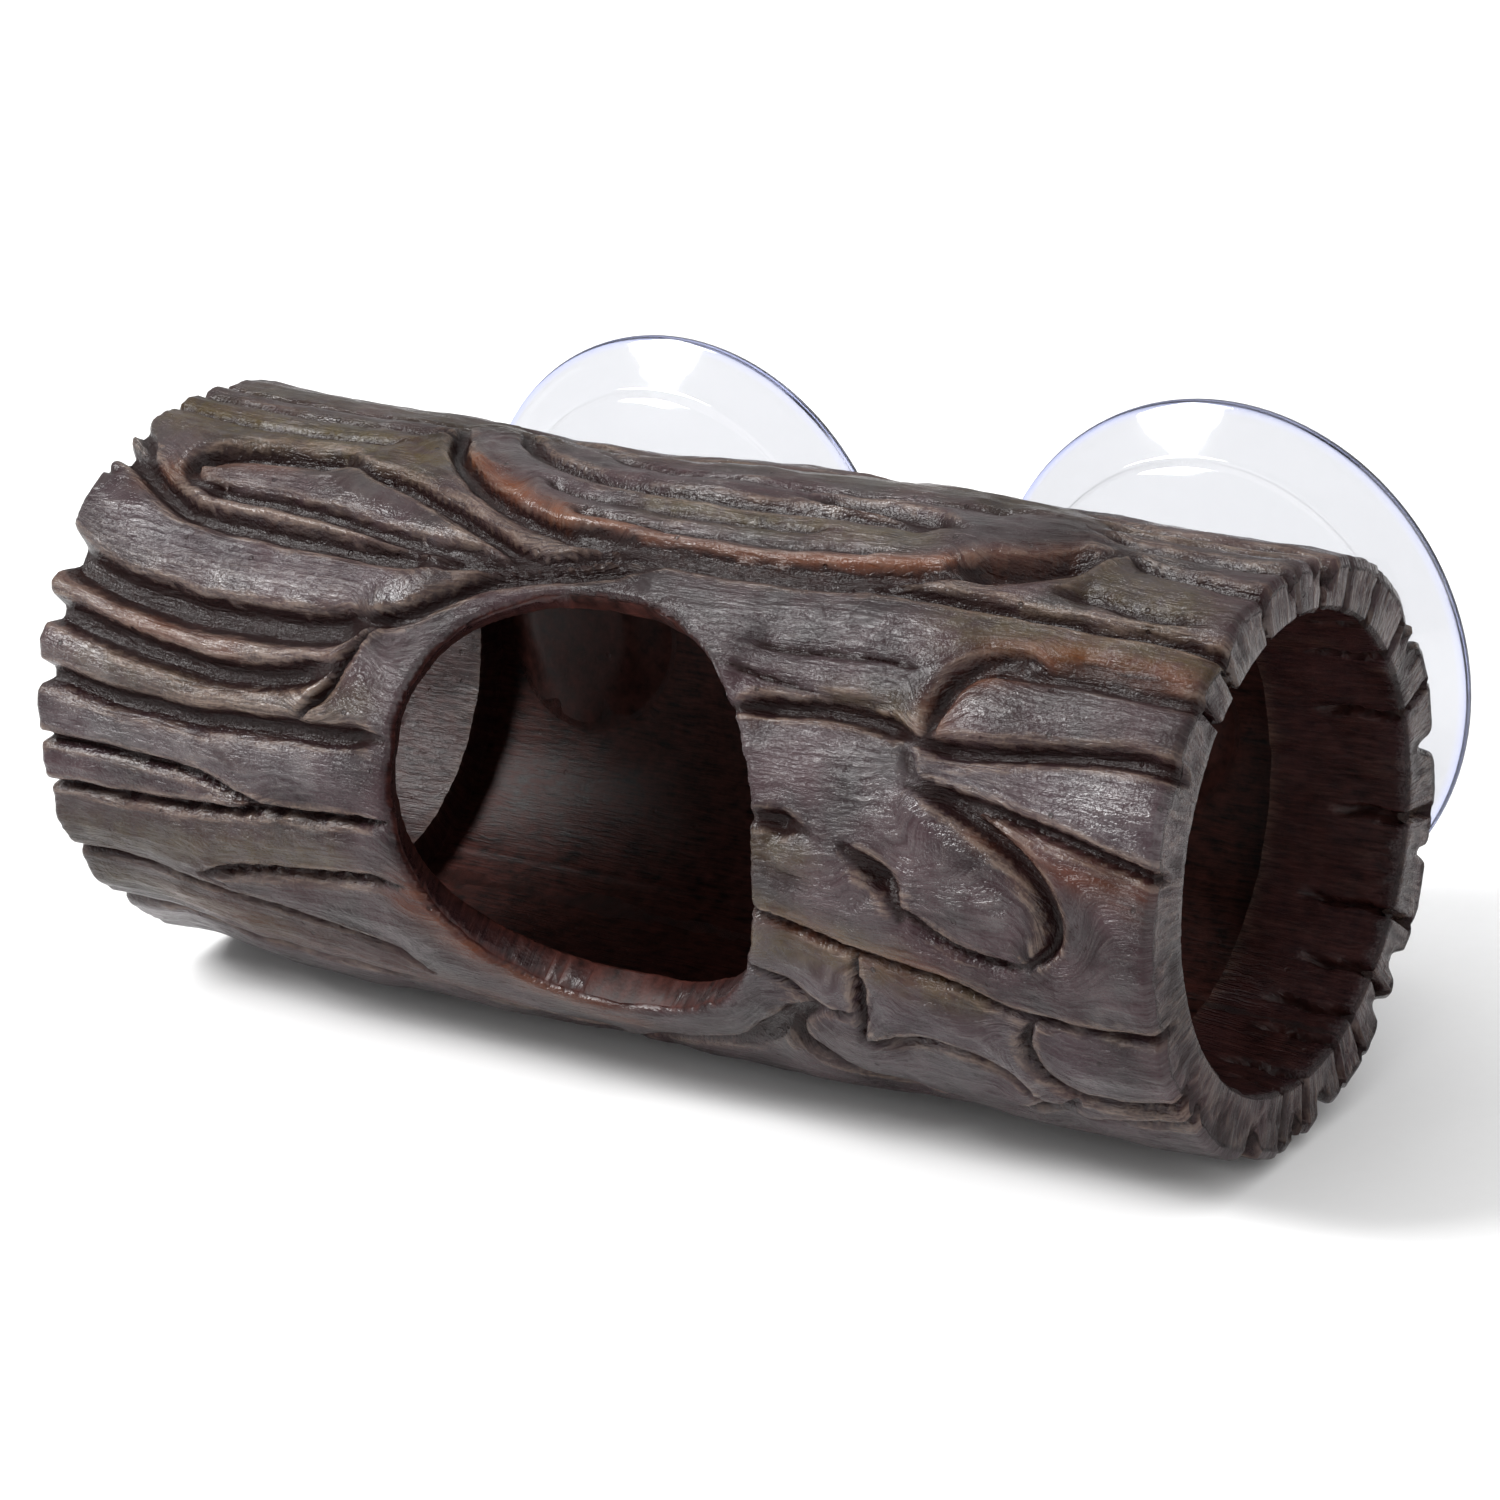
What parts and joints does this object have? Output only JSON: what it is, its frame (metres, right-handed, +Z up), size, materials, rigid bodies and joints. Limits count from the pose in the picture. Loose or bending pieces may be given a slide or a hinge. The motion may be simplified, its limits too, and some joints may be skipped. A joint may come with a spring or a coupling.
{
  "type": "aquarium hollow log cave",
  "caption": "Hollow bark-textured resin log, open at both ends and at the front, held to aquarium glass by clear suction cups.",
  "frame": {"origin": "on the plane of the glass that the suction cups hold to, half way between the two cups' centres", "axes": "+Y points into the glass, away from the log; +X runs along the log, to the right of someone who faces its front entrance; +Z is up"},
  "size_m": [0.199, 0.1131, 0.0914],
  "materials": {
    "painted_resin": "satin",
    "clear_pvc": "gloss"
  },
  "bodies": {
    "log": {"log_casting": "painted_resin"},
    "left_cup": {"suction_cup_left": "clear_pvc"},
    "right_cup": {"suction_cup_right": "clear_pvc"}
  },
  "joints": [
    {"name": "left_cup_swivel", "type": "hinge", "parent": "log", "child": "left_cup", "pos_m": [-0.0518, -0.02, 0], "axis": [0, 1, 0], "continuous": true},
    {"name": "right_cup_swivel", "type": "hinge", "parent": "log", "child": "right_cup", "pos_m": [0.0518, -0.02, 0], "axis": [0, 1, 0], "continuous": true}
  ]
}
